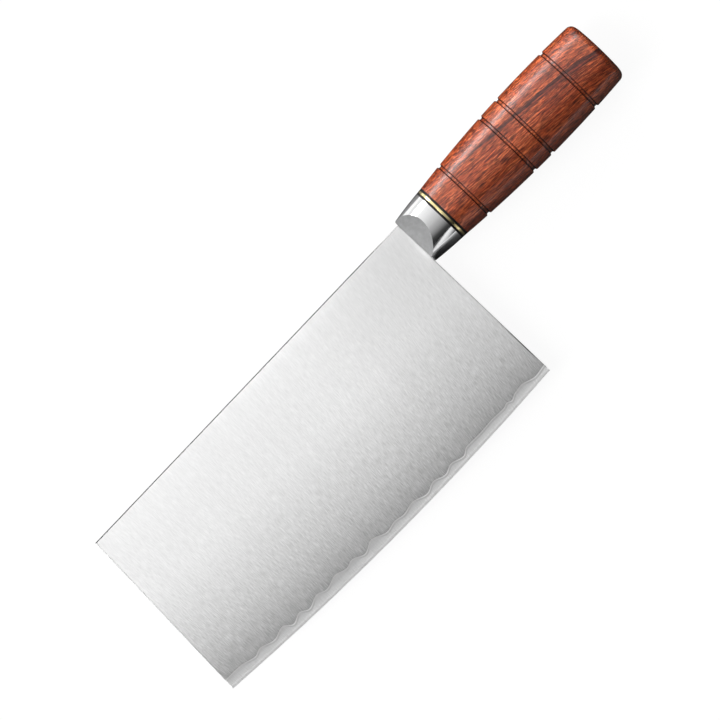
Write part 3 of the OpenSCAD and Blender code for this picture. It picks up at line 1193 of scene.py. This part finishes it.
# Dark cards on the table around the handle: black flags, whose greys also paint the knife's shadow
# on the table, dark close to it, for reflections. Their reach along y and x, in millimetres from
# the front of its axis, and their greys from y = `near` outwards, at shares of the far side's y.
# The greys close up towards the blade, by the share `narrowing` for each millimetre. `glow` is a
# painted glow: how much brighter they are than in plain light.
CARDS = {
    "card_beside_bolster": {
        "y": (8, 80),
        "x": (-14, 18.5),
        "greys": [(0, 0.02), (0.07, 0.09), (0.17, 0.24), (0.38, 0.27), (0.47, 0.7), (0.55, 1.0)],
        "near": 15,
        "narrowing": 0.031,
        "glow": 0.35,
    },
    "card_beside_wood": {"y": (8, 80), "x": (18.5, 170), "greys": [(0, 0), (0.65, 0.04), (1, 0.5)]},
    "card_edge_side": {
        "y": (-8, -500),
        "x": (-160, 170),
        "greys": [(0, 0.0), (0.05, 0.05), (0.1, 0.11), (0.25, 0.33), (0.5, 0.55), (1, 1.0)],
    },
    "card_under_butt": {"y": (-8, 8), "x": (119, 170), "greys": [(0, 0.03), (1, 0.03)]},
    "card_beyond_butt": {"y": (-500, 500), "x": (170, 1500), "greys": [(0, 0.05), (1, 0.05)]},
}
CARD_HEIGHT = 0.3
NARROWEST = 0.2


def flags_and_painted_shadow():
    """They darken the outline of the polished parts with painted shadow, and only reflections see
    them.
    """
    for name, given in CARDS.items():
        (first_y, far_y), (start_x, end_x) = given["y"], given["x"]
        low = POSE.translation + Vector((start_x, first_y, 0)) * MM
        high = POSE.translation + Vector((end_x, far_y, 0)) * MM
        card, graph, shader = flat_stage(name, low, high, CARD_HEIGHT * MM)
        x, y, _ = graph.parts(graph.nodes.new("ShaderNodeTexCoord").outputs["Object"])
        to_end = graph.math("SUBTRACT", x, high.x)
        width = graph.math("MULTIPLY_ADD", to_end, given.get("narrowing", 0) / MM, 1.0)
        width = graph.product(graph.math("MAXIMUM", width, NARROWEST), far_y * MM)
        beyond = graph.math("SUBTRACT", y, POSE.translation.y + given.get("near", 0) * MM)
        grey = graph.ramp(graph.math("DIVIDE", beyond, width), given["greys"])
        graph.feed(shader.inputs["Base Color"], grey)
        graph.feed(shader.inputs["Emission Color"], grey)
        shader.inputs["Emission Strength"].default_value = given.get("glow", 0)
        card.visible_camera = False
        card.visible_diffuse = False
        card.visible_transmission = False
        card.visible_shadow = False


# Brightness of the studio by the angle from straight up, in degrees, towards the spine's side
STUDIO = [
    (-90, 0.03), (-58, 0.03), (-45, 0.07), (-31, 0.27), (-19, 0.41), (-8, 0.5), (2, 0.63),
    (13, 0.71), (25, 0.83), (36, 0.95), (48, 1.05), (60, 1.13), (73, 1.3), (79, 4), (90, 4),
]
BRIGHTEST = 4
# Its edge's side is darker towards the ends, and all of it is dim beyond the butt
DARK_ENDS = 0.8
DARK_FROM = (0.4, 0.7)
DARK_TURN = (math.radians(-10), math.radians(10))
BUTT_LEVEL = 0.2
BUTT_FROM = (0.3, 0.6)
# A low strip on the edge's side, which ends beside the handle
LOW_STRIP = [(-90, 0.6), (-80, 0.84), (-67, 1.12), (-61.5, 1.2), (-59, 0), (90, 0)]
STRIP_RISE = (-0.45, -0.3)
STRIP_FALL = (-0.125, -0.085)
# Its upper border sinks by up to these degrees for polished surfaces that lean towards the blade
STRIP_SINKS = 40
STRIP_SINKS_LATE = 2
STRIP_LEAN = (-0.132, -0.283)
# A bright panel overhead, beyond the blade's front, along x and around the x axis
PANEL_LEVEL = 6
PANEL_X = ((-0.95, -0.8), (-0.5, -0.3))
PANEL_ANGLE = ((math.radians(-8), math.radians(3)), (math.radians(20), math.radians(35)))
# A light on the spine's side, which gives the wood its highlight
SIDE_LEVEL = 3
SIDE_X = ((-0.4, -0.25), (0.0, 0.12))
SIDE_RISE = (math.radians(62), math.radians(74))


def studio_light(graph):
    """The brightness of the studio in each direction."""
    x, y, z = graph.parts(graph.nodes.new("ShaderNodeTexCoord").outputs["Generated"])
    angle = graph.math("ARCTAN2", y, z)
    share = graph.math("MULTIPLY_ADD", angle, 1 / math.pi, 0.5)

    def by_angle(levels, at):
        stops = [(degrees / 180 + 0.5, level / BRIGHTEST) for degrees, level in levels]
        return graph.product(graph.ramp(at, stops), BRIGHTEST)

    edge_side = graph.steps(angle, *DARK_TURN, 1.0, 0.0)
    ends = graph.steps(graph.math("ABSOLUTE", x), *DARK_FROM, 0.0, DARK_ENDS)
    main = graph.product(
        by_angle(STUDIO, share),
        graph.math("SUBTRACT", 1.0, graph.product(ends, edge_side)),
        graph.steps(x, *BUTT_FROM, 1.0, BUTT_LEVEL),
    )
    lean = graph.math("DIVIDE", x, graph.math("COSINE", graph.product(angle, 0.5)))
    past = graph.math("SUBTRACT", lean, STRIP_LEAN[0])
    leaning = graph.math("DIVIDE", past, STRIP_LEAN[1] - STRIP_LEAN[0], clamp=True)
    sinking = graph.math("POWER", leaning, STRIP_SINKS_LATE)
    sunk = graph.math("MULTIPLY_ADD", sinking, STRIP_SINKS / 180, share)
    strip = graph.product(by_angle(LOW_STRIP, sunk), graph.window(x, STRIP_RISE, STRIP_FALL))
    panel = graph.product(graph.window(x, *PANEL_X), graph.window(angle, *PANEL_ANGLE), PANEL_LEVEL)
    side = graph.product(graph.window(x, *SIDE_X), graph.steps(angle, *SIDE_RISE), SIDE_LEVEL)
    return graph.total(main, strip, panel, side)


def studio():
    """A soft studio: bright low on the spine's side, dark on the edge's side but for a low strip."""
    world = bpy.data.worlds.new("studio")
    bpy.context.scene.world = world
    world.use_nodes = True
    graph = Graph(world.node_tree)
    around = graph.nodes["Background"]
    around.inputs["Color"].default_value = (1, 1, 1, 1)
    graph.feed(around.inputs["Strength"], studio_light(graph))
    behind = graph.nodes.new("ShaderNodeBackground")
    behind.inputs["Color"].default_value = (1, 1, 1, 1)
    behind.inputs["Strength"].default_value = 1
    path = graph.nodes.new("ShaderNodeLightPath")
    choose = graph.nodes.new("ShaderNodeMixShader")
    graph.fill(choose.inputs, path.outputs["Is Camera Ray"], around.outputs[0], behind.outputs[0])
    graph.feed(graph.nodes["World Output"].inputs["Surface"], choose.outputs[0])


# The camera looks straight at the left face; what its picture shows at its middle, and its scale
LENS = 400
SENSOR = 36
PICTURE_WIDTH = 316.8
PICTURE_MIDDLE = (-54.4, -18.44)
TURN = math.radians(46.42)


def camera():
    lens = bpy.data.cameras.new("camera")
    lens.lens = LENS
    lens.sensor_width = SENSOR
    lens.clip_end = 50
    held = place_in_scene("camera", lens)
    distance = PICTURE_WIDTH * LENS / SENSOR
    middle = Vector((*PICTURE_MIDDLE, distance)) * MM
    held.matrix_world = POSE @ Matrix.Translation(middle) @ Matrix.Rotation(-TURN, 4, "Z")
    bpy.context.scene.camera = held


POSE = rest_pose()

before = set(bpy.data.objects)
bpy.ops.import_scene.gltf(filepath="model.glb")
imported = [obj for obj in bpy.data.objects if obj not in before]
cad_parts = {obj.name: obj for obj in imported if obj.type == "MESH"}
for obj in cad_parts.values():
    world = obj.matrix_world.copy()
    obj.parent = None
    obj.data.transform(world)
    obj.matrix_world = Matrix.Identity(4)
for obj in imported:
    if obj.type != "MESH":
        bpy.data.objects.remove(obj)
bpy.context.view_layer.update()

steel = blade_steel()
spacer_black = black_fibre()
cladding(1).piece("outer_layer_left", "cladding_left", "cladding_steel", steel)
cladding(-1).piece("outer_layer_right", "cladding_right", "cladding_steel", steel)
core().piece("core_layer", "blade_core", "core_steel", core_steel())
bolster().piece("polished_bolster", "bolster", "bolster_steel", collar_steel(), sharp=30)
front_spacer = joint_ring(BOLSTER_LENGTH, BLACK_THICKNESS)
front_spacer.piece("fibre_spacer_front", "front_spacer", "black_fibre", spacer_black)
joint_ring(RING_X, RING_THICKNESS).piece("polished_brass_ring", "brass_ring", "brass", brass())
rear_spacer = joint_ring(REAR_SPACER_X, BLACK_THICKNESS)
rear_spacer.piece("fibre_spacer_rear", "rear_spacer", "black_fibre", spacer_black)
handle().piece("turned_handle", "handle", "rosewood", rosewood())

for node, paint in (("tang", tang_steel()), ("tang_epoxy", hard_glue())):
    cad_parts[node].material_slots[0].material = paint

white_floor()
flags_and_painted_shadow()
studio()
camera()

bpy.context.scene.view_settings.view_transform = "Standard"
